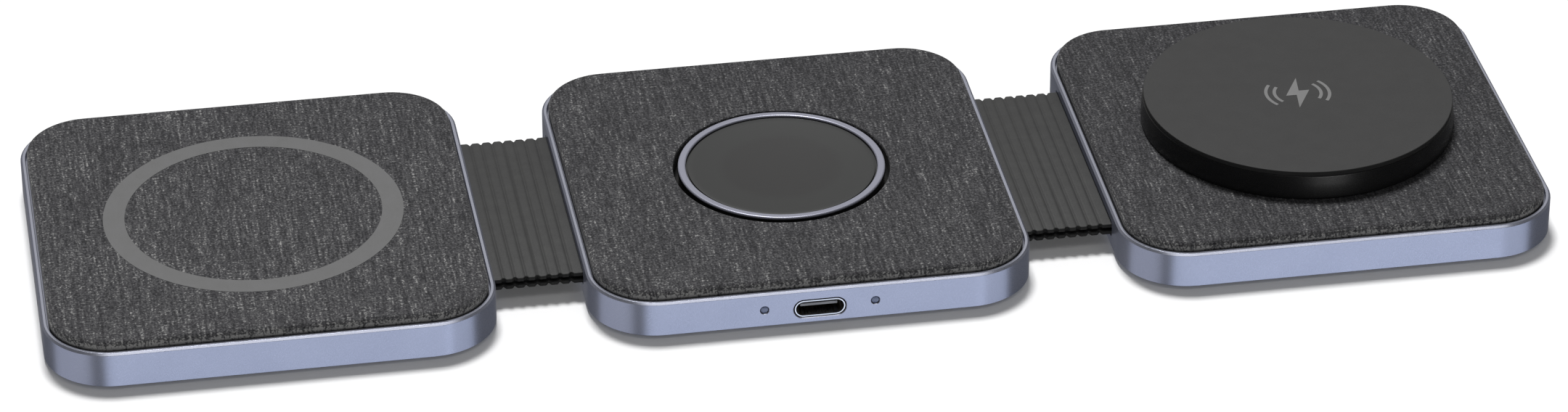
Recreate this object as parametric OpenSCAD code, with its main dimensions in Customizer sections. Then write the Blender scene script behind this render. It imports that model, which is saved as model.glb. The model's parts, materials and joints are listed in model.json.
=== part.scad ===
// Folding three-pad wireless charger: an earbuds/phone pad, a watch pad with the
// charging port, and a phone pad with a raised magnetic puck, joined by two ribbed
// elastomer bands. Origin: centre of the middle pad, on the table. +X runs along
// the row of pads, +Z up, and the charging port faces -Y. All sizes in millimetres.

/* [Pads] */
// Width of one pad along the row
pad_w = 78; // [70:1:90]
// Depth of one pad, front to back
pad_d = 79; // [74:1:90]
// Corner radius of the frames, seen from above
corner_r = 12; // [10:0.5:16]
// Space between two neighbouring pads, spanned by a band
pad_gap = 15.8; // [15.6:0.1:18]
// Height of the metal frames
frame_h = 6.55; // [6.5:0.05:8]
// How far the feet stand below the frames
foot_h = 0.8; // [0.5:0.1:1.2]

/* [Fabric tops] */
// Width of the bare metal rim around the fabric
rim_w = 0.9; // [0.7:0.1:1.2]
// Gap between the rim and the fabric
fabric_gap = 0.3; // [0.2:0.05:0.5]
// How far the fabric stands above the rim
fabric_rise = 1.6; // [1.2:0.1:1.8]
// Thickness of the fabric
fabric_t = 0.55; // [0.4:0.05:0.8]

/* [Printed ring] */
// Inner radius of the silicone ring on the left pad
ring_inner_r = 22.5; // [20:0.1:24]
// Outer radius of the silicone ring on the left pad
ring_outer_r = 26.3; // [25:0.1:28]

/* [Watch stage] */
// Outer radius of the metal bezel
bezel_outer_r = 18.4; // [17.5:0.1:19]
// Inner radius of the metal bezel
bezel_inner_r = 17; // [16:0.1:17.2]
// How far the bezel stands above the fabric
bezel_rise = 0.3; // [0.1:0.05:0.5]
// Dark gap around the bezel
stage_gap = 0.85; // [0.5:0.05:1.2]
// Depth of the dish at its centre, below its edge
dish_depth = 0.6; // [0.2:0.1:0.8]

/* [Phone puck] */
// Radius of the puck
puck_r = 28; // [27:0.1:28.5]
// Height of the puck above the fabric
puck_h = 5.55; // [4.5:0.05:7]

/* [Charging port] */
// Height of the port's centre above the bottom of the frame
port_z = 2.8; // [2.8:0.05:3]
// Distance from the port's centre to each indicator hole
light_x = 9.7; // [8:0.1:14]
// Radius of each light pipe
light_r = 0.7; // [0.5:0.05:0.9]

/* [Bands] */
// Width of each band, front to back
band_w = 47; // [40:1:48]
// Thickness of each band over its ribs
band_t = 2.1; // [1.8:0.1:2.2]

/* [Hidden] */
$fn = 96;

pitch = pad_w + pad_gap;
bottom_z = foot_h;
rim_z = bottom_z + frame_h;
fabric_z = rim_z + fabric_rise;
band_z = bottom_z + frame_h / 2;

// Insets from the outside of a frame
chamfer = 0.35;
skirt_inset = 1.2;
wall_inset = 2.4;
fit = 0.15;
fabric_inset = rim_w + fabric_gap;

// Levels inside a pad
base_t = 1;
base_top = bottom_z + base_t;
ledge_z = rim_z - 0.95;
plate_top = fabric_z - fabric_t;
pocket_top = plate_top - 0.75;

// Feet and screws sit in the four corners
foot_r = 4.5;
foot_sink = 0.35;
corner_x = pad_w / 2 - 9.5;
corner_y = pad_d / 2 - 9.5;
screw_head_r = 1.6;
screw_head_h = 0.7;
screw_r = 0.8;
screw_hole_r = 0.86;
head_z = bottom_z + foot_sink + 0.05;
base_boss_top = head_z + screw_head_h + 0.6;
screw_tip = ledge_z - 0.9;
boss_r = 2.4;

// Coils, magnets and boards
coil_t = 0.95;
ferrite_t = 0.8;
magnet_count = 16;
board_t = 1;

// Watch stage
stage_top = fabric_z + bezel_rise;
stage_hole_r = bezel_outer_r + stage_gap;
housing_r = 18;
housing_top = stage_top - 1.2;
housing_wall = 1;
flange_r = 21.5;
flange_t = 0.7;
dish_edge_z = stage_top - 0.2;
dish_bottom_z = stage_top - 1.15;
dish_steps = 16;
housing_floor_z = dish_bottom_z - coil_t - ferrite_t;

// Puck
puck_top = fabric_z + puck_h;
puck_wall = 1.3;
spigot_r = 24.5;
cap_t = 0.9;
cap_r = puck_r - 0.35;
coil_top = puck_top - cap_t;
icon_t = 0.06;

// Charging port, to the standard receptacle's sizes
port_w = 8.94;
port_h = 3.26;
port_depth = 7.3;
port_wall = 0.3;
port_face_y = -pad_d / 2 + 0.1;
port_centre_z = bottom_z + port_z;
tongue_w = 6.7;
tongue_t = 0.7;
light_z = band_z;
light_pipe_end = -pad_d / 2 + 5.2;

// Bands: a ribbed link between two hinge lines, and a clamped tab on each side of it.
// Each hinge line takes half of the fold, up to a quarter turn.
hinge_inset = 2.6;
hinge_gap = 0.05;
fold_relief = band_t / 2 + hinge_gap;
link_len = pad_gap - 2 * hinge_inset;
rib_pitch = pad_gap / 8;
groove_w = 0.5;
groove_depth = 0.4;
slot_h = 3;
slot_side = 0.4;
tab_len = 7.6;
clamp_len = 4;
clamp_t = 0.8;

// ---------------------------------------------------------------- shared shapes

module rounded_rect(w, d, r) {
    square([w - 2 * r, d], center = true);
    square([w, d - 2 * r], center = true);
    for (x = [-1, 1], y = [-1, 1])
        translate([x * (w / 2 - r), y * (d / 2 - r)]) circle(r);
}

// A slab with the frame's plan shape, set in from the frame's outside
module pad_slab(inset, z0, z1) {
    translate([0, 0, z0]) linear_extrude(z1 - z0)
        rounded_rect(pad_w - 2 * inset, pad_d - 2 * inset, corner_r - inset);
}

module disc(r, z0, z1) {
    translate([0, 0, z0]) cylinder(r = r, h = z1 - z0);
}

module ring(inner_r, outer_r, z0, z1) {
    difference() {
        disc(outer_r, z0, z1);
        disc(inner_r, z0 - 1, z1 + 1);
    }
}

module block(w, d, z0, z1) {
    translate([-w / 2, -d / 2, z0]) cube([w, d, z1 - z0]);
}

module at_corners() {
    for (x = [-1, 1], y = [-1, 1]) translate([x * corner_x, y * corner_y, 0]) children();
}

// Slab with sides that step in at its top and bottom edge, as the frames' chamfers do
module chamfered_slab() {
    side_w = pad_w - 2 * corner_r;
    side_d = pad_d - 2 * corner_r;
    section = [[0, bottom_z], [corner_r - chamfer, bottom_z], [corner_r, bottom_z + chamfer],
        [corner_r, rim_z - chamfer], [corner_r - chamfer, rim_z], [0, rim_z]];
    for (x = [0, 1], y = [0, 1])
        mirror([x, 0, 0]) mirror([0, y, 0])
            translate([side_w / 2, side_d / 2, 0])
                rotate_extrude(angle = 90) polygon(section);
    for (turn = [0, 180]) {
        rotate([0, 0, turn]) translate([side_w / 2, side_d / 2, 0])
            rotate([90, 0, 0]) linear_extrude(side_d) polygon(section);
        rotate([0, 0, turn]) translate([-side_w / 2, side_d / 2, 0])
            rotate([90, 0, 90]) linear_extrude(side_w) polygon(section);
    }
    block(side_w, side_d, bottom_z, rim_z);
}

// Opening through which a band enters a frame, on the side given by +1 or -1
module band_slot(side) {
    translate([side * (pad_w / 2 - 1), 0, band_z])
        cube([5, band_w + 2 * slot_side, slot_h], center = true);
}

module racetrack(w, h) {
    square([w - h, h], center = true);
    for (x = [-1, 1]) translate([x * (w - h) / 2, 0]) circle(h / 2);
}

// Racetrack bar lying along Y, from y0 to y1
module port_bar(w, h, y0, y1) {
    translate([0, y1, port_centre_z]) rotate([90, 0, 0])
        linear_extrude(y1 - y0) racetrack(w, h);
}

// ---------------------------------------------------------------- one pad's parts

module frame(slot_sides) {
    difference() {
        chamfered_slab();
        pad_slab(skirt_inset, bottom_z - 1, base_top);
        pad_slab(wall_inset, base_top - 0.5, ledge_z + 0.5);
        pad_slab(rim_w, ledge_z, rim_z + 1);
        for (side = slot_sides) band_slot(side);
    }
}

module base(tab_sides) {
    difference() {
        union() {
            pad_slab(skirt_inset + fit, bottom_z, base_top);
            at_corners() disc(3, bottom_z, base_boss_top);
            for (side = tab_sides)
                translate([side * (pad_w / 2 - wall_inset - 3.2), 0, 0])
                    block(3, band_w - 2, bottom_z, band_z - band_t / 2);
        }
        at_corners() {
            disc(foot_r + 0.1, bottom_z - 1, bottom_z + foot_sink);
            disc(screw_head_r + 0.1, bottom_z, head_z + screw_head_h);
            disc(screw_hole_r, bottom_z, base_boss_top + 1);
        }
    }
}

module feet() {
    at_corners() disc(foot_r, 0, bottom_z + foot_sink);
}

module screws() {
    at_corners() difference() {
        union() {
            disc(screw_head_r, head_z, head_z + screw_head_h);
            disc(screw_r, head_z, screw_tip);
        }
        disc(0.55, head_z - 1, head_z + 0.4, $fn = 6);
    }
}

module top_plate(hole_r, pocket_r) {
    difference() {
        union() {
            pad_slab(fabric_inset + fabric_t, ledge_z, plate_top);
            at_corners() disc(boss_r, base_boss_top, ledge_z + 0.5);
        }
        at_corners() disc(screw_hole_r, base_boss_top - 1, screw_tip + 0.4);
        if (hole_r > 0) disc(hole_r, ledge_z - 1, fabric_z);
        if (pocket_r > 0) disc(pocket_r, ledge_z - 1, pocket_top);
    }
}

module fabric(hole_r) {
    difference() {
        pad_slab(fabric_inset, ledge_z, fabric_z);
        pad_slab(fabric_inset + fabric_t, ledge_z - 1, plate_top);
        if (hole_r > 0) disc(hole_r, ledge_z, fabric_z + 1);
    }
}

// Flat spiral winding, drawn as the ring that it fills
module coil(inner_r, outer_r, top) {
    ring(inner_r, outer_r, top - coil_t, top);
}

module magnet_ring(inner_r, outer_r, top) {
    step = 360 / magnet_count;
    for (i = [0 : magnet_count - 1])
        rotate([0, 0, i * step]) translate([0, 0, top - 1.1])
            rotate_extrude(angle = step - 1.5)
                translate([inner_r, 0]) square([outer_r - inner_r, 1.1]);
}

module board(w, d, z0) {
    block(w, d, z0, z0 + board_t);
    translate([w * 0.2, 0, 0]) block(w * 0.3, d * 0.5, z0 + board_t, z0 + board_t + 0.8);
    translate([-w * 0.25, d * 0.2, 0]) block(3, 3, z0 + board_t, z0 + board_t + 0.7);
    translate([-w * 0.25, -d * 0.2, 0]) block(3, 3, z0 + board_t, z0 + board_t + 0.7);
}

// ---------------------------------------------------------------- left pad

module at_left() { translate([-pitch, 0, 0]) children(); }

module left_frame() { color("lightsteelblue") at_left() frame([1]); }
module left_base() { color("dimgray") at_left() base([1]); }
module left_feet() { color("black") at_left() feet(); }
module left_screws() { color("silver") at_left() screws(); }
module left_top_plate() { color("gray") at_left() top_plate(0, 27.5); }
module left_fabric() { color("#48484a") at_left() fabric(0); }
module left_ring() {
    color("#707071") at_left() ring(ring_inner_r, ring_outer_r, fabric_z, fabric_z + 0.05);
}
module left_coil() { color("peru") at_left() coil(9, 21, pocket_top); }
module left_ferrite() {
    color("dimgray") at_left()
        disc(21.5, pocket_top - coil_t - ferrite_t, pocket_top - coil_t);
}
module left_magnets() { color("silver") at_left() magnet_ring(22.6, 26.8, pocket_top); }
module left_board() { color("darkgreen") at_left() board(34, 22, base_top); }

// ---------------------------------------------------------------- middle pad

module middle_frame() {
    color("lightsteelblue") difference() {
        frame([-1, 1]);
        port_bar(port_w + 0.3, port_h + 0.3, -pad_d / 2 - 1, -pad_d / 2 + 4);
        for (x = [-1, 1]) translate([x * light_x, -pad_d / 2 + 4, light_z])
            rotate([90, 0, 0]) cylinder(r = light_r + 0.05, h = 6);
    }
}
module middle_base() {
    color("dimgray") {
        base([-1, 1]);
        for (x = [-1, 1], y = [-1, 1])
            translate([x * 20, board_front + board_d / 2 + y * 5, 0])
                block(3, 3, base_top - 0.1, board_z);
    }
}
module middle_feet() { color("black") feet(); }
module middle_screws() { color("silver") screws(); }
module middle_top_plate() { color("gray") top_plate(stage_hole_r, 0); }
module middle_fabric() { color("#48484a") fabric(stage_hole_r); }

module watch_housing() {
    color("#151517") difference() {
        union() {
            disc(housing_r, housing_floor_z - housing_wall, housing_top);
            disc(flange_r, ledge_z - flange_t, ledge_z);
        }
        disc(housing_r - housing_wall, housing_floor_z, housing_top + 1);
    }
}

module watch_bezel() {
    soft = 0.25;
    color("#9696a5") rotate_extrude() polygon([
        [bezel_inner_r, housing_top], [bezel_outer_r, housing_top],
        [bezel_outer_r, stage_top - soft], [bezel_outer_r - soft, stage_top],
        [bezel_inner_r + soft, stage_top], [bezel_inner_r, stage_top - soft]]);
}

module watch_dish() {
    edge_r = bezel_inner_r - 0.02;
    bowl = [for (i = [dish_steps : -1 : 0])
        [edge_r * i / dish_steps, dish_edge_z - dish_depth * (1 - pow(i / dish_steps, 2))]];
    color("#4c4d4c") rotate_extrude()
        polygon(concat([[0, dish_bottom_z], [edge_r, dish_bottom_z]], bowl));
}

module watch_coil() { color("peru") coil(5.4, 12, dish_bottom_z); }
module watch_ferrite() {
    color("dimgray") disc(13, dish_bottom_z - coil_t - ferrite_t, dish_bottom_z - coil_t);
}
module watch_magnet() { color("silver") disc(4.6, dish_bottom_z - coil_t, dish_bottom_z); }

board_w = 50;
board_d = 15.5;
board_front = -pad_d / 2 + wall_inset + 0.3;
board_z = port_centre_z - 1.3;

module main_board() {
    color("darkgreen") {
        difference() {
            translate([0, board_front + board_d / 2, 0])
                block(board_w, board_d, board_z, board_z + board_t);
            translate([0, port_face_y + port_depth / 2, 0])
                block(port_w + 0.4, port_depth + 0.4, board_z - 1, board_z + board_t + 1);
        }
        // Indicator lights, behind the light pipes
        for (x = [-1, 1]) translate([x * light_x, light_pipe_end + 0.6, 0])
            block(1.6, 0.8, board_z + board_t, light_z + 0.5);
    }
}

module board_shields() {
    color("silver") for (x = [-1, 1])
        translate([x * 16, board_front + board_d / 2 + 1, 0])
            block(13, 10, board_z + board_t, board_z + board_t + 1.4);
}

module port_shell() {
    color("silver") difference() {
        port_bar(port_w, port_h, port_face_y, port_face_y + port_depth);
        port_bar(port_w - 2 * port_wall, port_h - 2 * port_wall,
            port_face_y - 1, port_face_y + port_depth - 0.8);
    }
}

module port_tongue() {
    color("black") translate([0, port_face_y + 3.9, port_centre_z])
        cube([tongue_w, 5.2, tongue_t], center = true);
}

module light_pipes() {
    color("#55607a") for (x = [-1, 1])
        translate([x * light_x, light_pipe_end, light_z])
            rotate([90, 0, 0]) cylinder(r = light_r, h = 5.1);
}

// ---------------------------------------------------------------- right pad

module at_right() { translate([pitch, 0, 0]) children(); }

module right_frame() { color("lightsteelblue") at_right() frame([-1]); }
module right_base() { color("dimgray") at_right() base([-1]); }
module right_feet() { color("black") at_right() feet(); }
module right_screws() { color("silver") at_right() screws(); }
module right_top_plate() { color("gray") at_right() top_plate(spigot_r + 0.1, 0); }
module right_fabric() { color("#48484a") at_right() fabric(spigot_r + 0.1); }

module puck_shell() {
    soft = 0.4;
    floor_z = fabric_z + 1;
    rest_z = coil_top - coil_t - ferrite_t;
    color("#101012") at_right() rotate_extrude() polygon([
        [0, fabric_z], [spigot_r - 1.5, fabric_z], [spigot_r - 1.5, ledge_z],
        [spigot_r, ledge_z], [spigot_r, fabric_z], [puck_r - soft, fabric_z],
        [puck_r, fabric_z + soft], [puck_r, coil_top], [puck_r - puck_wall, coil_top],
        [puck_r - puck_wall, floor_z], [20.5, floor_z], [20.5, rest_z], [19, rest_z],
        [19, floor_z], [0, floor_z]]);
}

// A lightning bolt between two pairs of arcs, printed in a shallow recess of the cap
module icon_shape(depth) {
    bolt = [[0.9, 5.2], [-2.3, -0.7], [-0.35, -0.7], [-0.9, -5.2], [2.3, 0.7], [0.35, 0.7]];
    translate([0, 0, puck_top - icon_t]) {
        linear_extrude(depth) polygon(bolt);
        for (side = [0, 180], r = [3.9, 5.4])
            rotate([0, 0, side - 38]) rotate_extrude(angle = 76)
                translate([r, 0]) square([0.6, depth]);
    }
}

module puck_cap() {
    soft = 0.3;
    color("#474747") at_right() difference() {
        rotate_extrude() polygon([
            [0, puck_top - cap_t], [cap_r, puck_top - cap_t], [cap_r, puck_top - soft],
            [cap_r - soft, puck_top], [0, puck_top]]);
        icon_shape(icon_t + 1);
    }
}

module puck_icon() { color("#77777a") at_right() icon_shape(icon_t); }

module puck_coil() { color("peru") at_right() coil(9, 21, coil_top); }
module puck_ferrite() {
    color("dimgray") at_right() disc(21.5, coil_top - coil_t - ferrite_t, coil_top - coil_t);
}
module puck_magnets() { color("silver") at_right() magnet_ring(22.6, 26.5, coil_top); }
module right_board() { color("darkgreen") at_right() board(34, 22, base_top); }

// ---------------------------------------------------------------- bands

// The part of a band between its hinge lines, with wedge-shaped ends that leave room to fold
module band_link(side) {
    half_len = link_len / 2;
    half_t = band_t / 2;
    grooves = [for (i = [-1 : 1], step = [-1 : 1])
        [i * rib_pitch + step * groove_w / 2, half_t - (step == 0 ? groove_depth : 0)]];
    upper = concat([[-half_len + hinge_gap, 0], [-half_len + fold_relief, half_t]], grooves,
        [[half_len - fold_relief, half_t], [half_len - hinge_gap, 0]]);
    lower = [for (i = [len(upper) - 2 : -1 : 1]) [upper[i][0], -upper[i][1]]];
    color("#48494a")
        translate([side * (pad_w + pad_gap) / 2, band_w / 2, band_z])
            rotate([90, 0, 0]) linear_extrude(band_w) polygon(concat(upper, lower));
}

// The end of a band, from its hinge line through the wall at wall_x and on towards dir
module band_tab(wall_x, dir) {
    half_t = band_t / 2;
    shoulder = fold_relief - hinge_inset;
    color("#48494a")
        translate([wall_x, -dir * band_w / 2, band_z])
            rotate([90, 0, dir > 0 ? 0 : 180]) mirror([0, 0, 1]) linear_extrude(band_w)
                polygon([[tab_len, half_t], [shoulder, half_t], [hinge_gap - hinge_inset, 0],
                    [shoulder, -half_t], [tab_len, -half_t]]);
}

module band_clamp(wall_x, dir) {
    color("silver")
        translate([wall_x + dir * (tab_len - clamp_len / 2), 0, band_z + band_t / 2 + clamp_t / 2])
            cube([clamp_len, band_w, clamp_t], center = true);
}

inner_wall = pad_w / 2;
outer_wall = pad_w / 2 + pad_gap;

module left_band_link() { band_link(-1); }
module right_band_link() { band_link(1); }
module left_band_inner_tab() { band_tab(-inner_wall, 1); }
module left_band_outer_tab() { band_tab(-outer_wall, -1); }
module right_band_inner_tab() { band_tab(inner_wall, -1); }
module right_band_outer_tab() { band_tab(outer_wall, 1); }
module left_band_inner_clamp() { band_clamp(-inner_wall, 1); }
module left_band_outer_clamp() { band_clamp(-outer_wall, -1); }
module right_band_inner_clamp() { band_clamp(inner_wall, -1); }
module right_band_outer_clamp() { band_clamp(outer_wall, 1); }

// ---------------------------------------------------------------- model

left_frame();
left_base();
left_feet();
left_screws();
left_top_plate();
left_fabric();
left_ring();
left_coil();
left_ferrite();
left_magnets();
left_board();
middle_frame();
middle_base();
middle_feet();
middle_screws();
middle_top_plate();
middle_fabric();
watch_housing();
watch_bezel();
watch_dish();
watch_coil();
watch_ferrite();
watch_magnet();
main_board();
board_shields();
port_shell();
port_tongue();
light_pipes();
right_frame();
right_base();
right_feet();
right_screws();
right_top_plate();
right_fabric();
puck_shell();
puck_cap();
puck_icon();
puck_coil();
puck_ferrite();
puck_magnets();
right_board();
left_band_link();
right_band_link();
left_band_inner_tab();
left_band_outer_tab();
right_band_inner_tab();
right_band_outer_tab();
left_band_inner_clamp();
left_band_outer_clamp();
right_band_inner_clamp();
right_band_outer_clamp();
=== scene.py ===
"""Looks of a folding three-pad wireless charger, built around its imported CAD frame.

Outlines and profiles are in millimetres, as in the CAD source, and are turned into
metres when a mesh is made. x runs along the row of pads and the port faces -y.
"""

import json
import math

import bmesh
import bpy
from mathutils import Matrix, Vector


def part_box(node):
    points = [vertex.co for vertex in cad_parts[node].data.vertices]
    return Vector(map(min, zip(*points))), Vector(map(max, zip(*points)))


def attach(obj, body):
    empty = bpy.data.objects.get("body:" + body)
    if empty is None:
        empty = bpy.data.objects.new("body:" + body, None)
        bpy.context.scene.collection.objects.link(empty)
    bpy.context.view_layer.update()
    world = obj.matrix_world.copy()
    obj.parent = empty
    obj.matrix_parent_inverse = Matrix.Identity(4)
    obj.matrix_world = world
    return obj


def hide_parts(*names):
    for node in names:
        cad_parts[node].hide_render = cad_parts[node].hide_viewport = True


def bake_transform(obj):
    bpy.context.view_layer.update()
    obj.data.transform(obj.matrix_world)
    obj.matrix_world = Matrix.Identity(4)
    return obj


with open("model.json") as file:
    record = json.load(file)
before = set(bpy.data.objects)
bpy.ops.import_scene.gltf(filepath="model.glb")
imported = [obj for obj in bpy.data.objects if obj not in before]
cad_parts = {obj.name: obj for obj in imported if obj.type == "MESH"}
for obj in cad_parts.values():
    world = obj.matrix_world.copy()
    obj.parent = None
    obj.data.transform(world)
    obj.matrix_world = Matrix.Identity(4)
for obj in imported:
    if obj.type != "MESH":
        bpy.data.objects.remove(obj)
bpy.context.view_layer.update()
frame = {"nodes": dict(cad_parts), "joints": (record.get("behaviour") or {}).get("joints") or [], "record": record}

MM = 0.001


def box_mm(node):
    """The lowest and highest corner of a CAD node, in millimetres."""
    lo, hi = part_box(node)
    return lo / MM, hi / MM


def middle_x(node):
    lo, hi = box_mm(node)
    return (lo.x + hi.x) / 2


# ---------------------------------------------------------------- sizes, in millimetres

frame_lo, frame_hi = box_mm("middle_frame")
PAD_W = frame_hi.x - frame_lo.x
PAD_D = frame_hi.y - frame_lo.y
BOTTOM_Z = frame_lo.z
RIM_Z = frame_hi.z
BAND_Z = (BOTTOM_Z + RIM_Z) / 2
PAD_X = {"left": middle_x("left_frame"), "middle": 0.0, "right": middle_x("right_frame")}
PAD_GAP = PAD_X["right"] - PAD_W
LEDGE_Z, FABRIC_Z = (corner.z for corner in box_mm("middle_fabric"))
BASE_TOP = BOTTOM_Z + 1.0

CORNER_R = 12.0
CORNER_STEPS = 16
SIDE_STEPS = 22
ROUND_STEPS = 144

CHAMFER = 0.35
FOOT_CHAMFER = 0.14
FOOT_EDGE_R = 0.04
EDGE_R = 0.07
SKIRT_INSET = 1.2
WALL_INSET = 2.4
RIM_W = 0.9
SLOT_H = 3.0
SLOT_SIDE = 0.4

FABRIC_INSET = PAD_W / 2 - box_mm("middle_fabric")[1].x
FABRIC_T = 0.55
FABRIC_ROLL = 0.80
STAGE_HOLE_R = 19.25
PUCK_HOLE_R = 24.6

FOOT_R = 4.5
FOOT_SINK = 0.35
FOOT_INSET = 9.5

RING_INNER_R = 22.5
BEZEL_INNER_R = 17.0
DISH_DEPTH = 0.6
SPIGOT_R = 24.5

tab_lo, tab_hi = box_mm("left_band_inner_tab")
BAND_W = 47.0
BAND_T = tab_hi.z - tab_lo.z
RIBS = 8
RIB_PITCH = PAD_GAP / RIBS
RIB_STEPS = 16
GROOVE_DEPTH = 0.09
GROOVE_HALF = 0.28
SCALLOP = 0.6
SCALLOP_HALF = 0.55
LAYER_T = 0.72
LAYER_OVERHANG = 1.1
BAND_HIDDEN = 4.0

port_lo, port_hi = box_mm("port_shell")
PORT_Z = (port_lo.z + port_hi.z) / 2
PORT_W = port_hi.x * 2
PORT_H = port_hi.z - port_lo.z
PORT_WALL = 0.3
LIGHT_R = 0.7
LIGHT_X = box_mm("light_pipes")[1].x - LIGHT_R

MARK_RISE = 0.03

SHARP_ANGLE = math.radians(35)
NOISE_RANGE = 0.3, 0.7


# ---------------------------------------------------------------- outlines and meshes

def arc(x, y, r, start, end, steps):
    """Points on an arc, from angle start to angle end in degrees."""
    angles = [math.radians(start + (end - start) * i / steps) for i in range(steps + 1)]
    return [(x + r * math.cos(a), y + r * math.sin(a)) for a in angles]


def rounded_rect(w, d, r, corner_steps=CORNER_STEPS, side_steps=SIDE_STEPS):
    """Outline of a rounded rectangle round the origin, anticlockwise."""
    corners = []
    for quarter, (sx, sy) in enumerate([(1, 1), (-1, 1), (-1, -1), (1, -1)]):
        start = quarter * 90
        corners.append(arc(sx * (w / 2 - r), sy * (d / 2 - r), r, start, start + 90,
                           corner_steps))
    out = []
    for i, corner in enumerate(corners):
        out += corner
        a, b = Vector(corner[-1]), Vector(corners[(i + 1) % 4][0])
        out += [tuple(a.lerp(b, k / side_steps)) for k in range(1, side_steps)]
    return out


def pad_outline(inset):
    return rounded_rect(PAD_W - 2 * inset, PAD_D - 2 * inset, CORNER_R - inset)


def circle(r, steps=ROUND_STEPS):
    return arc(0, 0, r, 0, 360 - 360 / steps, steps - 1)


def circle_like(outline, r):
    """A circle with one point for each point of an outline, in the same direction."""
    return [tuple(Vector(p).normalized() * r) for p in outline]


def between(a, b, share):
    return [tuple(Vector(p).lerp(Vector(q), share)) for p, q in zip(a, b)]


def racetrack(w, h, steps=14):
    r = h / 2
    return (arc(w / 2 - r, 0, r, -90, 90, steps) + arc(r - w / 2, 0, r, 90, 270, steps))


def level(outline, x, z):
    """An outline laid flat at height z, with its centre at x."""
    return [Vector((x + p[0], p[1], z)) for p in outline]


def upright(outline, x, y, z):
    """An outline that faces the front, with its centre at x, z."""
    return [Vector((x + p[0], y, z + p[1])) for p in outline]


def soften(points, radii, steps=3):
    """A closed outline with each corner replaced by an arc of its radius, or kept at 0."""
    out = []
    for i, (point, r) in enumerate(zip(points, radii)):
        p = Vector(point)
        if r == 0:
            out.append(tuple(p))
            continue
        a = (Vector(points[i - 1]) - p).normalized()
        b = (Vector(points[(i + 1) % len(points)]) - p).normalized()
        half = a.angle(b) / 2
        centre = p + (a + b).normalized() * r / math.sin(half)
        first = (p + a * r / math.tan(half) - centre).normalized()
        last = (p + b * r / math.tan(half) - centre).normalized()
        for k in range(steps + 1):
            out.append(tuple(centre + first.slerp(last, k / steps) * r))
    return out


def make_object(name, verts, faces):
    """An object from points in millimetres, smooth where its faces meet at a low angle."""
    mesh = bpy.data.meshes.new(name)
    mesh.from_pydata([tuple(Vector(v) * MM) for v in verts], [], faces)
    obj = bpy.data.objects.new(name, mesh)
    bpy.context.scene.collection.objects.link(obj)
    tidy_mesh(obj)
    return obj


def tidy_mesh(obj):
    """Merges doubled points, turns the faces outwards and sets the shading."""
    bm = bmesh.new()
    bm.from_mesh(obj.data)
    bmesh.ops.remove_doubles(bm, verts=bm.verts, dist=1e-7)
    bmesh.ops.recalc_face_normals(bm, faces=bm.faces)
    bm.to_mesh(obj.data)
    bm.free()
    shade(obj)


def shade(obj):
    """Smooth shading, with a sharp edge where two faces meet at a steeper angle."""
    obj.data.shade_smooth()
    obj.data.set_sharp_from_angle(angle=SHARP_ANGLE)


def loft(name, loops, cyclic=False, caps=False):
    """A skin over loops of equally many points; cyclic joins the last to the first."""
    n = len(loops[0])
    verts = [p for loop in loops for p in loop]
    faces = []
    for i in range(len(loops) - (0 if cyclic else 1)):
        a, b = i * n, (i + 1) % len(loops) * n
        faces += [(a + k, a + (k + 1) % n, b + (k + 1) % n, b + k) for k in range(n)]
    if caps:
        last = (len(loops) - 1) * n
        faces += [tuple(range(n)), tuple(range(last, last + n))]
    return make_object(name, verts, faces)


def lathe(name, profile, x=0.0, y=0.0):
    """A solid of revolution about a vertical axis, from a profile of (radius, z).

    A profile that starts and ends near the axis is closed with a cap at each end."""
    near_axis = 1
    solid = max(profile[0][0], profile[-1][0]) < near_axis
    loops = [[Vector((x + px, y + py, z)) for px, py in circle(r)] for r, z in profile]
    return loft(name, loops, cyclic=not solid, caps=solid)


def weigh_normals(obj):
    """Keeps large flat faces flat where they meet a small rounded edge."""
    weigh = obj.modifiers.new("flat_faces", "WEIGHTED_NORMAL")
    weigh.keep_sharp = True


def cut(obj, cutters):
    """Cuts the cutters out of obj for good, and removes them."""
    for cutter in cutters:
        hole = obj.modifiers.new("hole", "BOOLEAN")
        hole.object = cutter
        hole.operation = "DIFFERENCE"
        hole.solver = "EXACT"
    graph = bpy.context.evaluated_depsgraph_get()
    mesh = bpy.data.meshes.new_from_object(obj.evaluated_get(graph))
    obj.modifiers.clear()
    obj.data = mesh
    for cutter in cutters:
        bpy.data.objects.remove(cutter)
    tidy_mesh(obj)


def place(obj, body, slot, material, replaces=()):
    """Gives a finished piece its material and the body it rides on; its record slot is not used."""
    dress(obj, material)
    weigh_normals(obj)
    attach(obj, body)
    if replaces:
        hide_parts(*replaces)
    return obj


def dress(obj, material):
    obj.data.materials.clear()
    obj.data.materials.append(material)


# ---------------------------------------------------------------- material building

def fill_ramp(ramp, stops):
    """Sets a colour ramp to stops of (position, colour)."""
    while len(ramp.elements) < len(stops):
        ramp.elements.new(0.5)
    for element, (position, colour) in zip(ramp.elements, stops):
        element.position = position
        element.color = (*colour, 1.0)


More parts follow.
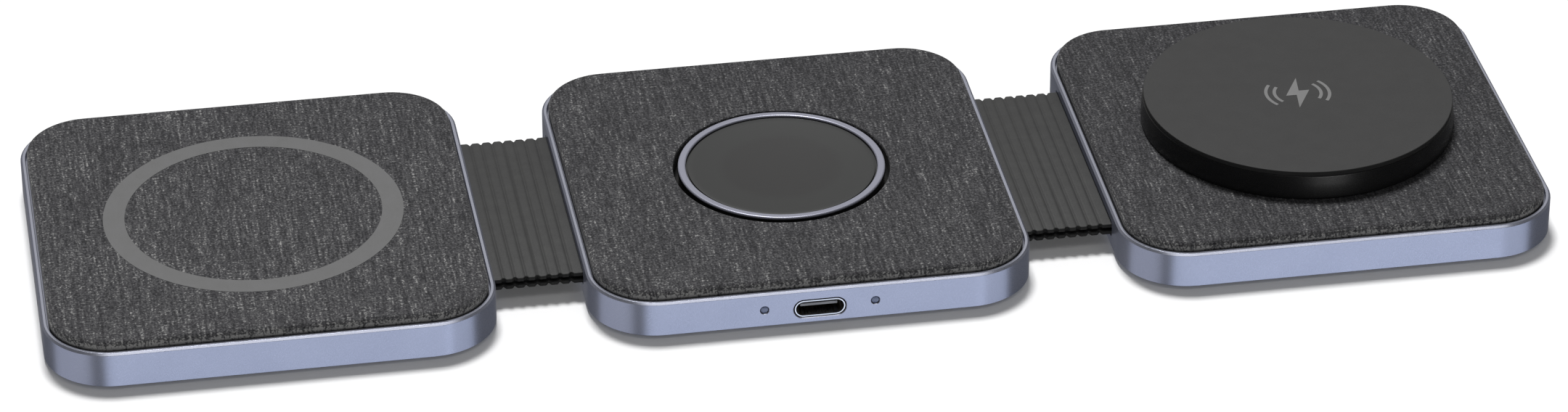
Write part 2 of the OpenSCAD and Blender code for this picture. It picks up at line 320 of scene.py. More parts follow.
class Look:
    """One procedural material. Its place is the object's own coordinates, in millimetres."""

    def __init__(self, name, colour, roughness, metallic=0.0):
        self.material = bpy.data.materials.new(name)
        self.material.use_nodes = True
        self.tree = self.material.node_tree
        self.shader = self.tree.nodes["Principled BSDF"]
        self.set("Base Color", (*colour, 1.0))
        self.set("Roughness", roughness)
        self.set("Metallic", metallic)
        coordinates = self.node("TexCoord").outputs["Object"]
        self.place = self.scaled(coordinates, (1 / MM,) * 3)

    def node(self, kind, values=(), **settings):
        """A node with these settings; values maps inputs to constants or to outputs."""
        made = self.tree.nodes.new("ShaderNode" + kind)
        for key, value in settings.items():
            setattr(made, key, value)
        for key, value in dict(values).items():
            self.put(made.inputs[key], value)
        return made

    def put(self, socket, value):
        if isinstance(value, bpy.types.NodeSocket):
            self.tree.links.new(value, socket)
        else:
            socket.default_value = value

    def set(self, name, value):
        self.put(self.shader.inputs[name], value)

    def scaled(self, vector, factors):
        return self.node("VectorMath", {0: vector, 1: factors}, operation="MULTIPLY").outputs[0]

    def math(self, operation, a, b=0.0, clamp=False):
        return self.node("Math", {0: a, 1: b}, operation=operation, use_clamp=clamp).outputs[0]

    def axis(self, name, place=None):
        split = self.node("SeparateXYZ", {0: place or self.place})
        return split.outputs[name]

    def noise(self, per_mm, detail=2.0, stretch=(1, 1, 1), place=None):
        """Soft noise from 0 to 1, with about per_mm features to a millimetre."""
        at = self.scaled(place or self.place, stretch)
        made = self.node("TexNoise", {"Vector": at, "Scale": per_mm, "Detail": detail})
        return made.outputs["Fac"]

    def radius(self, x=0.0, y=0.0):
        """Distance from a vertical axis at x, y, in millimetres."""
        dx = self.math("SUBTRACT", self.axis("X"), x)
        dy = self.math("SUBTRACT", self.axis("Y"), y)
        return self.math("SQRT", self.math("ADD", self.math("MULTIPLY", dx, dx),
                                           self.math("MULTIPLY", dy, dy)))

    def down_the_edges(self, top):
        """The object's place, carried on outwards down the sides below a height."""
        facing = self.node("TexCoord").outputs["Normal"]
        below = self.math("SUBTRACT", top, self.axis("Z"))
        x = self.math("ADD", self.axis("X"), self.math("MULTIPLY", self.axis("X", facing), below))
        y = self.math("ADD", self.axis("Y"), self.math("MULTIPLY", self.axis("Y", facing), below))
        return self.node("CombineXYZ", {0: x, 1: y}).outputs[0]

    def sum(self, parts):
        """Sum of outputs, each times its weight."""
        total = 0.0
        for value, weight in parts:
            total = self.node("Math", {0: value, 1: weight, 2: total},
                              operation="MULTIPLY_ADD").outputs[0]
        return total

    def spread(self, value, low, high, to_low, to_high):
        """value carried from low..high to to_low..to_high, and held at the ends."""
        return self.node("MapRange", {0: value, 1: low, 2: high, 3: to_low, 4: to_high},
                         clamp=True).outputs[0]

    def vary(self, noise, low=0.0, high=1.0):
        """A noise's usual range carried to low..high."""
        return self.spread(noise, *NOISE_RANGE, low, high)

    def mix(self, share, a, b):
        made = self.node("Mix", data_type="RGBA")
        self.put(made.inputs["Factor"], share)
        for socket, value in zip([s for s in made.inputs if s.type == "RGBA"], (a, b)):
            self.put(socket, value if isinstance(value, bpy.types.NodeSocket) else (*value, 1.0))
        return next(s for s in made.outputs if s.type == "RGBA")

    def shades(self, value, stops):
        """value from 0 to 1 turned into a colour, from stops of (position, colour)."""
        made = self.node("ValToRGB", {0: value})
        fill_ramp(made.color_ramp, stops)
        return made.outputs[0]

    def bump(self, height, depth, strength=1.0, under=None):
        """Relief of the given depth in millimetres, on top of another relief if given."""
        values = {"Height": height, "Distance": depth * MM, "Strength": strength}
        if under:
            values["Normal"] = under
        return self.node("Bump", values).outputs[0]


def grey(value, tint=(1, 1, 1)):
    return tuple(value * t for t in tint)


def heather_fabric():
    """Plain weave in mixed dark greys, with slubs that run from front to back.

    It is paler on the rolled edge, partly wear and partly a painted highlight in place of the light that edge
    lacks; it carries painted shade where it is tucked in beside the rim; and its tone falls a little towards the
    right pad and rises a little to the front, a painted fall of light across the row."""
    look = Look("heather_fabric", grey(0.07), 0.85)
    at = look.down_the_edges(FABRIC_Z)
    x, y = look.axis("X", at), look.axis("Y", at)
    thread = 0.30
    over = look.math("MULTIPLY",
                     look.math("SINE", look.math("MULTIPLY", x, math.pi / thread)),
                     look.math("SINE", look.math("MULTIPLY", y, math.pi / thread)))
    warp = look.noise(2.0, 2.0, (1, 0.16, 1), at)
    weft = look.noise(2.6, 1.0, (0.3, 1, 1), at)
    fleck = look.noise(2.7, 1.0, (1, 0.75, 1), at)
    slub = look.noise(1.3, 1.0, (1, 0.05, 1), at)
    cloud = look.noise(0.10, 2.0, (1, 0.5, 1), at)
    # paler down the rolled edge: partly wear, partly a painted highlight on an edge that faces away from the key
    # light
    rubbed_and_lit = look.spread(look.axis("Z"), RIM_Z + 0.35, FABRIC_Z - 0.05, 1.0, 0.0)
    # painted light and shade: the cloth darkens towards the right pad and lightens towards the front
    right = look.spread(look.axis("X"), PAD_X["left"], PAD_X["right"] + PAD_W / 2, 0.0, 1.0)
    front = look.spread(look.axis("Y"), PAD_D / 2, -PAD_D / 2, 0.0, 1.0)
    tone = look.sum([(warp, 0.44), (weft, 0.28), (fleck, 0.66), (slub, 0.28), (cloud, 0.10),
                     (over, 0.03), (rubbed_and_lit, 0.25), (right, -0.06), (front, 0.03)])
    colour = look.shades(look.spread(tone, 0.695, 1.165, 0.0, 1.0), [
        (0.08, grey(0.017, (1, 1, 1.10))), (0.34, grey(0.039, (1, 0.99, 1.07))),
        (0.52, grey(0.061, (1, 0.99, 1.04))), (0.68, grey(0.094, (1, 1, 1.02))),
        (0.92, grey(0.27, (1, 0.99, 0.97)))])
    # painted shade: the cloth turns almost black where it is tucked into the gap beside the rim
    tucked = look.spread(look.axis("Z"), RIM_Z - 0.2, RIM_Z + 0.25, 0.9, 0.0)
    look.set("Base Color", look.mix(tucked, colour, grey(0.010, (1, 1, 1.2))))
    look.set("Sheen Weight", 0.05)
    look.set("Sheen Roughness", 0.6)
    look.set("Specular IOR Level", 0.15)
    relief = look.sum([(look.math("ABSOLUTE", over), 0.4), (warp, 0.8), (fleck, 0.5)])
    fuzz = look.bump(look.noise(7.0, 3.0, place=at), 0.05, 0.5)
    look.set("Normal", look.bump(relief, 0.10, 0.8, under=fuzz))
    return look.material


def silicone_print():
    """Satin grey silicone, thin enough for the cloth's threads to show in it a little."""
    look = Look("silicone_print", grey(0.125), 0.5)
    cloth = look.noise(2.6, 2.0, (1, 0.2, 1))
    mottle = look.noise(0.35, 3.0)
    look.set("Base Color", look.mix(look.vary(mottle),
                                    grey(0.083), grey(0.090, (1, 1, 1.02))))
    look.set("Roughness", look.vary(cloth, 0.46, 0.56))
    look.set("Normal", look.bump(cloth, 0.03, 0.35))
    return look.material


def anodised_aluminium():
    """Bead-blasted aluminium under a lavender blue anodised layer."""
    look = Look("anodised_aluminium", (0.248, 0.257, 0.306), 0.28, 0.75)
    grain = look.noise(9.0, 3.0)
    cloud = look.noise(0.12, 2.0)
    look.set("Base Color", look.mix(look.vary(cloud),
                                    (0.241, 0.250, 0.299), (0.255, 0.264, 0.313)))
    look.set("Roughness", look.vary(grain, 0.26, 0.34))
    look.set("Specular Tint", (0.30, 0.32, 0.38, 1.0))
    look.set("Specular IOR Level", 0.3)
    look.set("Normal", look.bump(grain, 0.0015, 0.4))
    return look.material


def bezel_metal():
    """Anodised metal turned on a lathe, with fine rings, and painted shade that turns it black below its top edge,
    where it faces the dark gap around it.
    """
    look = Look("bezel_metal", (0.26, 0.265, 0.32), 0.34, 0.4)
    along_radius = look.node("CombineXYZ", {0: look.radius()}).outputs[0]
    rings = look.node("TexNoise", {"Vector": along_radius, "Scale": 14.0,
                                   "Detail": 2.0}).outputs["Fac"]
    turned = look.mix(rings, (0.25, 0.255, 0.31), (0.28, 0.285, 0.345))
    top = box_mm("watch_bezel")[1].z
    # painted shade: below the top edge the bezel is black, in place of the shadow in the gap around it
    gap_shade = look.spread(look.axis("Z"), top - 0.45, top - 0.3, 1.0, 0.0)
    look.set("Base Color", look.mix(gap_shade, turned, grey(0.004)))
    look.set("Roughness", look.vary(rings, 0.30, 0.38))
    look.set("Normal", look.bump(rings, 0.004, 0.4))
    return look.material


def band_elastomer():
    """Matt moulded elastomer with a fine grain and a little dust in it."""
    look = Look("band_elastomer", grey(0.05), 0.62)
    grain = look.noise(6.0, 3.0)
    mottle = look.noise(0.5, 3.0)
    look.set("Base Color", look.mix(look.vary(mottle),
                                    grey(0.024), grey(0.030, (1, 1.01, 0.99))))
    look.set("Roughness", look.vary(grain, 0.56, 0.70))
    look.set("Specular IOR Level", 0.3)
    look.set("Normal", look.bump(grain, 0.02, 0.5))
    return look.material


def moulded(name, low, high, roughness, grain_per_mm=5.0, depth=0.02, specular=0.5):
    """Moulded plastic or rubber between two colours, with a fine spark-eroded grain."""
    look = Look(name, low, roughness)
    grain = look.noise(grain_per_mm, 3.0)
    mottle = look.noise(0.3, 3.0)
    look.set("Base Color", look.mix(look.vary(mottle), low, high))
    look.set("Roughness", look.vary(grain, roughness - 0.05, roughness + 0.06))
    look.set("Specular IOR Level", specular)
    look.set("Normal", look.bump(grain, depth, 0.6))
    return look.material


def dish_plastic():
    """Fine-grained dark plastic, with painted shade that makes it a little darker in the middle."""
    look = Look("dish_plastic", grey(0.020), 0.42)
    # painted shade: a round, darker middle in place of the dish's soft shading
    round_shade = look.spread(look.radius(), 9.6, 11.4, 1.0, 0.0)
    grain = look.noise(8.0, 3.0)
    look.set("Base Color", look.mix(round_shade, grey(0.0228, (0.98, 1.02, 1)), grey(0.0195)))
    look.set("Roughness", look.vary(grain, 0.37, 0.48))
    look.set("Specular IOR Level", 0.3)
    look.set("Normal", look.bump(grain, 0.006, 0.6))
    return look.material


def metal(name, low, high, roughness, stretch=(1, 1, 1), grain_per_mm=5.0):
    """Drawn, rolled or plated metal whose grain runs where stretch is small."""
    look = Look(name, low, roughness, 1.0)
    grain = look.noise(grain_per_mm, 2.0, stretch)
    look.set("Base Color", look.mix(look.vary(grain), low, high))
    look.set("Roughness", look.vary(grain, roughness - 0.05, roughness + 0.07))
    look.set("Normal", look.bump(grain, 0.006, 0.5))
    return look.material


def winding(name, x, y):
    """Turns of enamelled copper round a vertical axis at x, y."""
    look = Look(name, (0.75, 0.34, 0.16), 0.3, 1.0)
    turn = 1.2
    turns = look.math("ABSOLUTE", look.math(
        "SINE", look.math("MULTIPLY", look.radius(x, y), math.pi / turn)))
    look.set("Base Color", look.mix(turns, (0.16, 0.05, 0.02), (0.78, 0.36, 0.17)))
    look.set("Roughness", look.vary(look.noise(4.0), 0.24, 0.36))
    look.set("Normal", look.bump(turns, 0.2, 0.8))
    return look.material


def circuit_board():
    """Green solder mask over faint copper tracks."""
    look = Look("circuit_board", (0.015, 0.10, 0.04), 0.35)
    tracks = look.node("TexBrick", {"Vector": look.place, "Scale": 1.0, "Mortar Size": 0.12,
                                    "Brick Width": 3.0, "Row Height": 1.1}).outputs["Fac"]
    look.set("Base Color", look.mix(tracks, (0.012, 0.085, 0.035), (0.03, 0.16, 0.06)))
    look.set("Roughness", look.vary(look.noise(3.0), 0.30, 0.42))
    look.set("Normal", look.bump(tracks, 0.03, 0.5))
    return look.material


def gloss_black(name, roughness):
    """Polished black plastic with the faint waviness of a moulding."""
    look = Look(name, grey(0.005), roughness)
    wave = look.noise(0.25, 2.0)
    grain = look.noise(8.0, 2.0)
    look.set("Base Color", look.mix(wave, grey(0.0035), grey(0.0055, (1, 1, 1.06))))
    look.set("Roughness", look.vary(grain, roughness - 0.03, roughness + 0.05))
    look.set("Specular IOR Level", 0.28)
    look.set("Normal", look.bump(wave, 0.01, 0.3))
    return look.material


def light_guide():
    """Smoked, slightly blue light guide."""
    look = Look("light_guide", (0.075, 0.09, 0.15), 0.25)
    haze = look.noise(4.0, 2.0)
    look.set("Base Color", look.mix(haze, (0.06, 0.075, 0.13), (0.10, 0.12, 0.19)))
    look.set("Roughness", look.vary(haze, 0.18, 0.32))
    look.set("Normal", look.bump(haze, 0.01, 0.4))
    return look.material


LOOKS = {
    "anodised_aluminium": anodised_aluminium(),
    "heather_fabric": heather_fabric(),
    "silicone_print": silicone_print(),
    "band_elastomer": band_elastomer(),
    "base_plastic": moulded("base_plastic", grey(0.040), grey(0.050), 0.55, 3.0, 0.04),
    "foot_rubber": moulded("foot_rubber", grey(0.022), grey(0.032), 0.75, 2.5, 0.05),
    "carrier_plastic": moulded("carrier_plastic", grey(0.07), grey(0.09), 0.5),
    "black_plastic": gloss_black("black_plastic", 0.24),
    "soft_touch_cap": moulded("soft_touch_cap", grey(0.021), grey(0.024), 0.62, 7.0, 0.012, 0.3),
    "printed_mark": moulded("printed_mark", grey(0.130), grey(0.145), 0.5, 6.0, 0.01),
    "dish_plastic": dish_plastic(),
    "bezel_metal": bezel_metal(),
    "port_steel": metal("port_steel", grey(0.34), grey(0.42), 0.2, (1, 0.2, 1)),
    "tongue_plastic": moulded("tongue_plastic", grey(0.20), grey(0.23), 0.35, 6.0, 0.01),
    "light_guide": light_guide(),
    "screw_steel": metal("screw_steel", grey(0.42), grey(0.52), 0.3),
    "clamp_steel": metal("clamp_steel", grey(0.45), grey(0.56), 0.32, (1, 0.1, 1)),
    "ferrite": moulded("ferrite", grey(0.035), grey(0.05), 0.6, 4.0),
    "magnet": metal("magnet", grey(0.5), grey(0.6), 0.22),
    "circuit_board": circuit_board(),
    "shield_can": metal("shield_can", grey(0.5), grey(0.62), 0.26, (0.15, 1, 1)),
}
CONTACT_GOLD = metal("contact_gold", (0.83, 0.60, 0.26), (0.90, 0.68, 0.33), 0.25)
COILS = {"left_coil": PAD_X["left"], "watch_coil": 0.0, "puck_coil": PAD_X["right"]}


# ---------------------------------------------------------------- pads

def make_frame(side):
    """A metal frame: an extruded ring with chamfered edges and a ledge for the top."""
    section = [
        (0, BOTTOM_Z + FOOT_CHAMFER), (0, RIM_Z - CHAMFER), (CHAMFER, RIM_Z), (RIM_W, RIM_Z),
        (RIM_W, LEDGE_Z), (WALL_INSET, LEDGE_Z), (WALL_INSET, BASE_TOP),
        (SKIRT_INSET, BASE_TOP), (SKIRT_INSET, BOTTOM_Z), (FOOT_CHAMFER, BOTTOM_Z)]
    radii = [FOOT_EDGE_R, EDGE_R, EDGE_R, 2 * EDGE_R, 0, 0, 0, 0, EDGE_R, FOOT_EDGE_R]
    loops = [level(pad_outline(inset), PAD_X[side], z) for inset, z in soften(section, radii)]
    obj = loft(side + "_frame_skin", loops, cyclic=True)
    cutters = [slot_cutter(side, toward) for toward in slot_sides(side)]
    if side == "middle":
        cutters += [port_cutter(), *light_cutters()]
    cut(obj, cutters)
    return place(obj, side + "_pad", "anodised_aluminium", LOOKS["anodised_aluminium"],
                 [side + "_frame"])


def slot_sides(side):
    return {"left": [1], "middle": [-1, 1], "right": [-1]}[side]


def slot_cutter(side, toward):
    """The opening in a side wall through which a band enters, with rounded corners."""
    corner_r, depth, proud = 0.8, 3.5, 1
    outline = rounded_rect(BAND_W + 2 * SLOT_SIDE, SLOT_H, corner_r, 6, 1)
    x = PAD_X[side] + toward * PAD_W / 2
    loops = [[Vector((x + toward * reach, p[0], BAND_Z + p[1])) for p in outline]
             for reach in (-depth, proud)]
    return loft("slot_cutter", loops, caps=True)


def flared(name, outline_at, y_front, flare):
    """A cutter through the front wall, widened by flare where it meets the outside."""
    depth = 4
    loops = [outline_at(2 * flare, y_front - flare), outline_at(0, y_front + flare),
             outline_at(0, y_front + depth)]
    return loft(name, loops, caps=True)


def port_cutter():
    clearance, flare = 0.3, 0.12
    return flared("port_cutter", lambda grow, y: upright(
        racetrack(PORT_W + clearance + 2 * grow, PORT_H + clearance + 2 * grow), 0, y, PORT_Z),
        -PAD_D / 2, flare)


def light_cutters():
    clearance, flare = 0.05, 0.10
    return [flared("light_cutter", lambda grow, y, x=x: upright(
        circle(LIGHT_R + clearance + grow, 40), x, y, BAND_Z), -PAD_D / 2, flare)
        for x in (-LIGHT_X, LIGHT_X)]


def make_fabric(side, hole_r):
    """A cloth cover, rolled over the edge of the top plate and tucked in beside the rim."""
    def rolled(thickness):
        """Insets and heights down one face of the cloth, from the top to the tuck."""
        inset, z, r = FABRIC_INSET + thickness, FABRIC_Z - thickness, FABRIC_ROLL - thickness
        return [(inset + r - r * math.sin(math.radians(a)),
                 z - r + r * math.cos(math.radians(a))) for a in range(0, 91, 10)]

    x = PAD_X[side]
    outer, inner = rolled(0), rolled(FABRIC_T)
    loops = []
    edge, under_edge = pad_outline(outer[0][0]), pad_outline(inner[0][0])
    if hole_r:
        lip = 0.35
        loops += [level(circle_like(edge, hole_r + lip), x, FABRIC_Z - FABRIC_T),
                  level(circle_like(edge, hole_r), x, FABRIC_Z - FABRIC_T),
                  level(circle_like(edge, hole_r), x, FABRIC_Z - lip),
                  level(circle_like(edge, hole_r + 0.1), x, FABRIC_Z - 0.1),
                  level(circle_like(edge, hole_r + lip), x, FABRIC_Z)]
        hole = circle_like(edge, hole_r + lip)
    else:
        centre_r = 2.0
        hole = circle_like(edge, centre_r)
        loops.append(level(hole, x, FABRIC_Z))
    for share in (0.25, 0.5, 0.75, 0.95):
        loops.append(level(between(hole, edge, share), x, FABRIC_Z))
    loops += [level(pad_outline(inset), x, z) for inset, z in outer]
    loops.append(level(pad_outline(outer[-1][0]), x, LEDGE_Z))
    loops.append(level(pad_outline(inner[-1][0]), x, LEDGE_Z))
    loops += [level(pad_outline(inset), x, z) for inset, z in reversed(inner)]
    for share in (0.75, 0.5, 0.25):
        loops.append(level(between(hole, under_edge, share), x, FABRIC_Z - FABRIC_T))
    if not hole_r:
        loops.append(level(hole, x, FABRIC_Z - FABRIC_T))
    obj = loft(side + "_cover", loops, cyclic=bool(hole_r), caps=not hole_r)
    place(obj, side + "_pad", "heather_fabric", LOOKS["heather_fabric"], [side + "_fabric"])


def make_feet(side):
    """Four soft feet with a rounded edge and a shallow dimple."""
    corner_x, corner_y = PAD_W / 2 - FOOT_INSET, PAD_D / 2 - FOOT_INSET
    centre_r, dimple_r, dimple_rim_r, dimple = 0.2, 3.0, 3.3, 0.12
    top = BOTTOM_Z + FOOT_SINK
    profile = soften([(centre_r, dimple), (dimple_r, dimple), (dimple_rim_r, 0),
                      (FOOT_R, 0), (FOOT_R, top), (centre_r, top)],
                     [0, 0.1, 0.1, 0.3, 0.05, 0], 4)
    feet = [lathe(f"{side}_foot_{i}", profile, PAD_X[side] + sx * corner_x, sy * corner_y)
            for i, (sx, sy) in enumerate([(-1, -1), (1, -1), (1, 1), (-1, 1)])]
    join(feet, side + "_foot_set")
    place(feet[0], side + "_pad", "foot_rubber", LOOKS["foot_rubber"], [side + "_feet"])


def join(objects, name):
    """Joins objects into the first one."""
    bm = bmesh.new()
    for obj in objects:
        bm.from_mesh(obj.data)
    bm.to_mesh(objects[0].data)
    bm.free()
    for obj in objects[1:]:
        bpy.data.objects.remove(obj)
    objects[0].name = objects[0].data.name = name
    shade(objects[0])


def make_ring():
    """The printed silicone ring on the left pad."""
    lo, hi = box_mm("left_ring")
    outer, inner = (hi.x - lo.x) / 2, RING_INNER_R
    top, foot = hi.z, lo.z - 0.02
    profile = soften([(inner, foot), (outer, foot), (outer, top), (inner, top)],
                     [0, 0, 0.04, 0.04], 3)
    place(lathe("left_printed_ring", profile, PAD_X["left"]), "left_pad", "silicone_print",
          LOOKS["silicone_print"], ["left_ring"])


# ---------------------------------------------------------------- watch stage

def make_watch_stage():
    """A turned bezel and, inside a narrow channel, the dish that the watch sits in."""
    bezel_hi, foot = box_mm("watch_bezel")[1], box_mm("watch_housing")[1].z
    outer, inner, top = bezel_hi.x, BEZEL_INNER_R, bezel_hi.z
    bezel = soften([(inner, foot), (outer, foot), (outer, top), (inner, top)],
                   [0, 0, 0.32, 0.32], 5)
    place(lathe("watch_bezel_ring", bezel), "middle_pad", "bezel_metal", LOOKS["bezel_metal"],
          ["watch_bezel"])
    clearance, drop, steps = 0.02, 0.2, 24
    edge_r, edge_z = inner - clearance, top - drop
    bowl = [(edge_r * i / steps, edge_z - DISH_DEPTH * (1 - (i / steps) ** 2))
            for i in range(steps, 0, -1)]
    floor_z = box_mm("watch_dish")[0].z
    channel_w, channel_depth, bevel_w, bevel_h, centre_r = 0.3, 0.5, 0.1, 0.12, 0.3
    bowl_r, channel_z = edge_r - channel_w, edge_z - channel_depth
    profile = [(centre_r, floor_z), (edge_r, floor_z), (edge_r, channel_z), (bowl_r, channel_z),
               (bowl_r, edge_z - bevel_h)] + [p for p in bowl if p[0] < bowl_r - bevel_w]
    profile.append((centre_r, edge_z - DISH_DEPTH))
    place(lathe("watch_dish_skin", profile), "middle_pad", "dish_plastic",
          LOOKS["dish_plastic"], ["watch_dish"])


# ---------------------------------------------------------------- puck

def make_puck():
    """The raised puck: a glossy black shell and a soft-touch cap under the printed mark."""
    x = PAD_X["right"]
    cap_lo, cap_hi = box_mm("puck_cap")
    shell_lo, shell_hi = box_mm("puck_shell")
    shell_r = (shell_hi.x - shell_lo.x) / 2
    cap_r = (cap_hi.x - cap_lo.x) / 2
    wall, spigot_wall, shelf_z = 1.3, 1.5, FABRIC_Z + 1
    crown, crown_z, crown_r = 0.25, shell_hi.z - 2.6, 24.0
    shell = soften([
        (SPIGOT_R - spigot_wall, shelf_z), (SPIGOT_R - spigot_wall, shell_lo.z),
        (SPIGOT_R, shell_lo.z), (SPIGOT_R, FABRIC_Z), (shell_r, FABRIC_Z),
        (shell_r, crown_z), (shell_r - crown, shell_hi.z), (shell_r - wall, shell_hi.z),
        (shell_r - wall, shelf_z)],
        [0, 0.1, 0.1, 0, 0.5, crown_r, 0.2, 0.1, 0], 6)
    skin = place(lathe("puck_shell_skin", shell, x), "right_pad", "black_plastic",
                 LOOKS["black_plastic"], ["puck_shell"])
    centre_r, top = 0.3, cap_hi.z - MARK_RISE
    cap = soften([(centre_r, cap_lo.z), (cap_r, cap_lo.z), (cap_r, top), (centre_r, top)],
                 [0, 0.05, 0.16, 0], 4)
    place(lathe("puck_cap_skin", cap, x), "right_pad", "soft_touch_cap",
          LOOKS["soft_touch_cap"], ["puck_cap"])
    return skin


# ---------------------------------------------------------------- port and lights

def make_port():
    """A drawn steel receptacle, its tongue with gold contacts, and two light guides."""
    lip, back_wall, y0, y1 = 0.1, 0.8, port_lo.y, port_hi.y
    inner_w, inner_h = PORT_W - 2 * PORT_WALL, PORT_H - 2 * PORT_WALL
    stations = [(PORT_W, PORT_H, y1), (PORT_W, PORT_H, y0 + lip),
                (PORT_W - lip, PORT_H - lip, y0), (inner_w + lip, inner_h + lip, y0),
                (inner_w, inner_h, y0 + lip), (inner_w, inner_h, y1 - back_wall)]
    shell = loft("port_receptacle", [upright(racetrack(w, h), 0, y, PORT_Z)
                                     for w, h, y in stations], caps=True)
    place(shell, "middle_pad", "port_steel", LOOKS["port_steel"], ["port_shell"])

    tongue_lo, tongue_hi = box_mm("port_tongue")
    w, t = tongue_hi.x - tongue_lo.x, tongue_hi.z - tongue_lo.z
    nose, edge_r = 0.25, 0.12
    tongue = loft("port_tongue_blade", [upright(rounded_rect(*size, edge_r, 4, 2), 0, y, PORT_Z)
                                        for size, y in [((w - nose, t - nose), tongue_lo.y),
                                                        ((w, t), tongue_lo.y + nose),
                                                        ((w, t), tongue_hi.y)]], caps=True)
    place(tongue, "middle_pad", "tongue_plastic", LOOKS["tongue_plastic"], ["port_tongue"])

    contact_w, contact_t, count, pitch = 0.26, 0.02, 12, 0.5
    contact_r, front_gap, back_gap = 0.009, 0.5, 0.6
    strips = []
    for face in (-1, 1):
        for i in range(count):
            strips.append(loft("strip", [
                upright(rounded_rect(contact_w, contact_t, contact_r, 2, 1),
                        (i - (count - 1) / 2) * pitch, y,
                        PORT_Z + face * (t / 2 + contact_t / 2)) for y in
                (tongue_lo.y + front_gap, tongue_hi.y - back_gap)], caps=True))
    join(strips, "port_contacts")
    place(strips[0], "middle_pad", "port_steel", CONTACT_GOLD)

    pipe_lo, pipe_hi = box_mm("light_pipes")
    pipes = []
    for x in (-LIGHT_X, LIGHT_X):
        stations = [(0.12, pipe_lo.y), (0.35, pipe_lo.y + 0.02), (0.6, pipe_lo.y + 0.08),
                    (LIGHT_R, pipe_lo.y + 0.2), (LIGHT_R, pipe_hi.y)]
        pipes.append(loft("pipe", [upright(circle(r, 40), x, y, BAND_Z) for r, y in stations],
                          caps=True))
    join(pipes, "light_guide_pair")
    place(pipes[0], "middle_pad", "light_guide", LOOKS["light_guide"], ["light_pipes"])
    return [shell, tongue, strips[0], pipes[0]]


# ---------------------------------------------------------------- bands

def smooth_step(value):
    t = min(max(value, 0.0), 1.0)
    return t * t * (3 - 2 * t)


def notch(u, half_width):
    """1 in the middle of a groove and 0 beyond its half width, u from the middle pad's wall."""
    nearest = round(u / RIB_PITCH)
    if not 0 < nearest < RIBS:
        return 0.0
    return 1 - smooth_step(abs(u - nearest * RIB_PITCH) / half_width)


def band_section(u):
    """The band's outline across its width at distance u: two ribbed layers and a core."""
    t = BAND_T / 2 - GROOVE_DEPTH * notch(u, GROOVE_HALF)
    w = BAND_W / 2 - SCALLOP * notch(u, SCALLOP_HALF)
    core_t, core_w = BAND_T / 2 - LAYER_T, BAND_W / 2 - LAYER_OVERHANG
    quarter = [(core_w, core_t), (w, core_t), (w, t)]
    radii = [0.08, 0.12, 0.22]
    points = quarter + [(-a, b) for a, b in reversed(quarter)]
    points += [(-a, -b) for a, b in quarter] + [(a, -b) for a, b in reversed(quarter)]
    return soften(points, (radii + radii[::-1]) * 2)


def make_band(side):
    """A ribbed elastomer band in two pieces that meet in its middle groove."""
    toward = {"left": -1, "right": 1}[side]
    wall = PAD_W / 2
    inset = fold_inset(side)
    middle_body, band_body, pad_body = "middle_pad", side + "_band", side + "_pad"
    spans = [("inner", -BAND_HIDDEN, PAD_GAP / 2, middle_body, band_body, 0.0, 2 * inset),
             ("outer", PAD_GAP / 2, PAD_GAP + BAND_HIDDEN, band_body, pad_body,
              PAD_GAP - 2 * inset, PAD_GAP)]
    for part, u0, u1, body_a, body_b, start, end in spans:
        steps = round((u1 - u0) / (RIB_PITCH / RIB_STEPS))
        loops = []
        for i in range(steps + 1):
            u = u0 + (u1 - u0) * i / steps
            loops.append([Vector((toward * (wall + u), p[0], BAND_Z + p[1]))
                          for p in band_section(u)])
        obj = loft(f"{side}_band_{part}", loops, caps=True)
        dress(obj, LOOKS["band_elastomer"])
        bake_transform(obj)
        nodes = [f"{side}_band_{part}_tab"] + ([side + "_band_link"] if part == "inner" else [])
        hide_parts(*nodes)


def fold_inset(side):
    """Distance from a wall to the hinge line near it, in millimetres."""
    joint = next(j for j in frame["joints"] if j["name"] == side + "_band_fold")
    return abs(joint["pos_m"][0]) / MM - PAD_W / 2


# ---------------------------------------------------------------- studio

def make_floor():
    """A pale floor that no gloss reflects, with a faint glow that lifts the shadows on it."""
    look = Look("pale_floor", grey(0.82), 0.85)
    speck = look.noise(0.002, 2.0)
    look.set("Base Color", look.mix(speck, grey(0.815), grey(0.825)))
    look.set("Emission Color", (1, 1, 1, 1))
    look.set("Emission Strength", 0.06)
    half = 6000.0
    floor = make_object("floor", [(-half, -half, 0), (half, -half, 0), (half, half, 0),
                                  (-half, half, 0)], [(0, 1, 2, 3)])
    dress(floor, look.material)
    floor.visible_glossy = False


def make_world():
    """A grey studio, brightest behind the pads and dimmest overhead and at both sides."""
    world = bpy.data.worlds.new("studio")
    bpy.context.scene.world = world
    world.use_nodes = True
    tree = world.node_tree
    split = tree.nodes.new("ShaderNodeSeparateXYZ")
    tree.links.new(tree.nodes.new("ShaderNodeTexCoord").outputs["Generated"], split.inputs[0])
    place = tree.nodes.new("ShaderNodeMapRange")
    place.inputs["From Min"].default_value = -1.0
    tree.links.new(split.outputs["Y"], place.inputs["Value"])
    ramp = tree.nodes.new("ShaderNodeValToRGB")
    tree.links.new(place.outputs[0], ramp.inputs[0])
    fill_ramp(ramp.color_ramp, [(0.0, grey(0.14)), (0.25, grey(0.10)), (0.5, grey(0.06)),
                                (0.75, grey(0.25)), (1.0, (0.50, 0.49, 0.48))])
    tree.links.new(ramp.outputs[0], tree.nodes["Background"].inputs["Color"])


def area_light(name, position, size, power, colour=(1, 1, 1)):
    """A softbox at a position in metres that shines at the middle pad."""
    data = bpy.data.lights.new(name, "AREA")
    data.shape = "RECTANGLE"
    data.size, data.size_y = size
    data.energy = power
    data.color = colour
    light = bpy.data.objects.new(name, data)
    bpy.context.scene.collection.objects.link(light)
    light.location = position
    light.rotation_mode = "QUATERNION"
    light.rotation_quaternion = (-Vector(position)).to_track_quat("-Z", "Y")
    return light


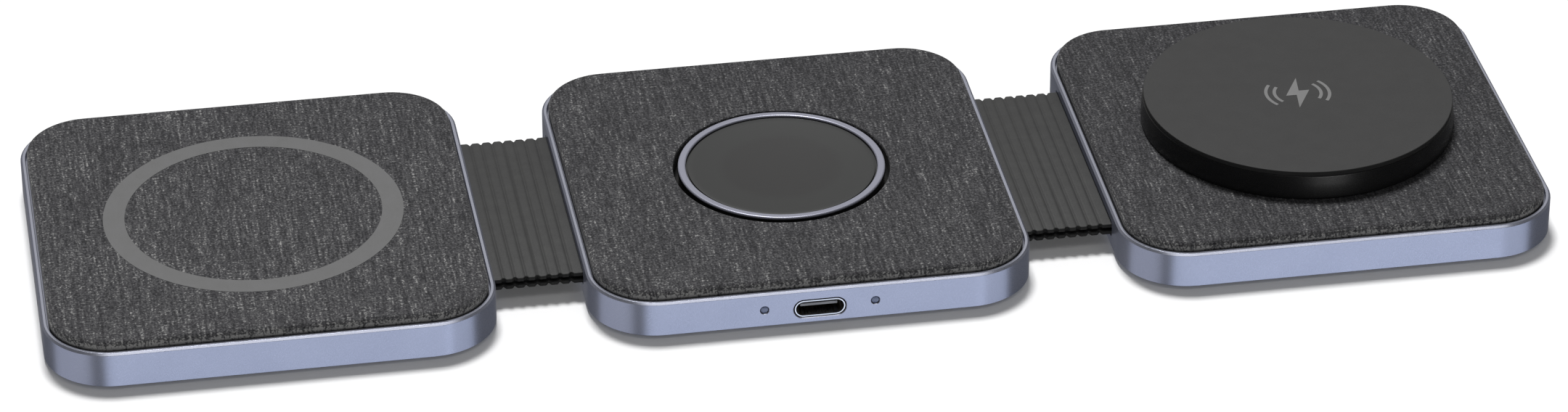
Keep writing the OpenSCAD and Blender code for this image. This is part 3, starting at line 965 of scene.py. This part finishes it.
def make_lights():
    area_light("key_box", (-0.08, 1.30, 3.40), (0.85, 0.85), 139.0)
    area_light("top_front_box", (0.2, -1.5, 2.5), (2.2, 0.7), 8.0)


def show_only_in(light, pieces):
    """Lets a light reach these pieces alone, past everything but themselves."""
    group = bpy.data.collections.new(light.name + "_pieces")
    for obj in pieces:
        group.objects.link(obj)
    light.light_linking.receiver_collection = group
    light.light_linking.blocker_collection = group


def reflection_card(azimuth, elevation, size, power, colour, pieces):
    """A pale card a metre from the middle pad, whose light reaches only these pieces.

    At an elevation below 0 it is under the floor, which doesn't block its light."""
    a, e = math.radians(azimuth), math.radians(elevation)
    place = Vector((math.sin(a) * math.cos(e), -math.cos(a) * math.cos(e), math.sin(e)))
    card = area_light(f"card_{azimuth}_{elevation}", place, size, power, colour)
    show_only_in(card, pieces)


def make_reflections(metal, shell):
    """Five cards for the frames and the port, and one for the puck's shell."""
    blue, white = (0.81, 0.90, 1.10), (1, 1, 1)
    reflection_card(2, -31, (0.84, 0.60), 3.15, blue, metal)
    reflection_card(49, -31, (0.75, 0.60), 2.2, blue, metal)
    reflection_card(-78, -31, (1.06, 0.60), 2.2, (0.9, 0.95, 1.1), metal)
    reflection_card(8, 59, (0.90, 0.30), 2.6, white, metal)
    reflection_card(170, 31, (0.90, 0.50), 1.1, (1.0, 0.97, 0.88), metal)
    reflection_card(15, -6, (0.40, 0.26), 2.9, white, shell)


def make_camera():
    """A long lens in front of the row and a little to its left, looking down at the pads."""
    azimuth, elevation = math.radians(-9.715), math.radians(31.23)
    roll = math.radians(-0.085)
    distance, lens = 1.09473, 141.25
    target = Vector((0.000363, -0.000539, BOTTOM_Z * MM))
    back = Vector((math.sin(azimuth) * math.cos(elevation),
                   -math.cos(azimuth) * math.cos(elevation), math.sin(elevation)))
    data = bpy.data.cameras.new("camera")
    data.lens = lens
    data.sensor_width = 36.0
    data.clip_start, data.clip_end = 0.01, 50.0
    camera = bpy.data.objects.new("camera", data)
    bpy.context.scene.collection.objects.link(camera)
    turn = (-back).to_track_quat("-Z", "Y").to_matrix().to_4x4()
    camera.matrix_world = (Matrix.Translation(target + back * distance) @ turn
                           @ Matrix.Rotation(roll, 4, "Z"))
    bpy.context.scene.camera = camera


# ---------------------------------------------------------------- the whole scene

def dress_cad_nodes():
    """Gives every CAD node the full material of its slot, and the coils their windings."""
    slots = {part["node"]: part["material_slot"] for part in frame["record"]["subparts"]}
    for name, obj in frame["nodes"].items():
        if name in COILS:
            dress(obj, winding(name + "_winding", COILS[name], 0.0))
        else:
            dress(obj, LOOKS[slots[name]])


dress_cad_nodes()
frames = [make_frame(pad) for pad in PAD_X]
for pad in PAD_X:
    make_feet(pad)
make_fabric("left", 0)
make_fabric("middle", STAGE_HOLE_R)
make_fabric("right", PUCK_HOLE_R)
make_ring()
make_watch_stage()
puck_shell = make_puck()
port_pieces = make_port()
make_band("left")
make_band("right")
make_floor()
make_world()
make_lights()
make_reflections(frames + port_pieces, [puck_shell])
make_camera()
bpy.context.scene.view_settings.view_transform = "Standard"
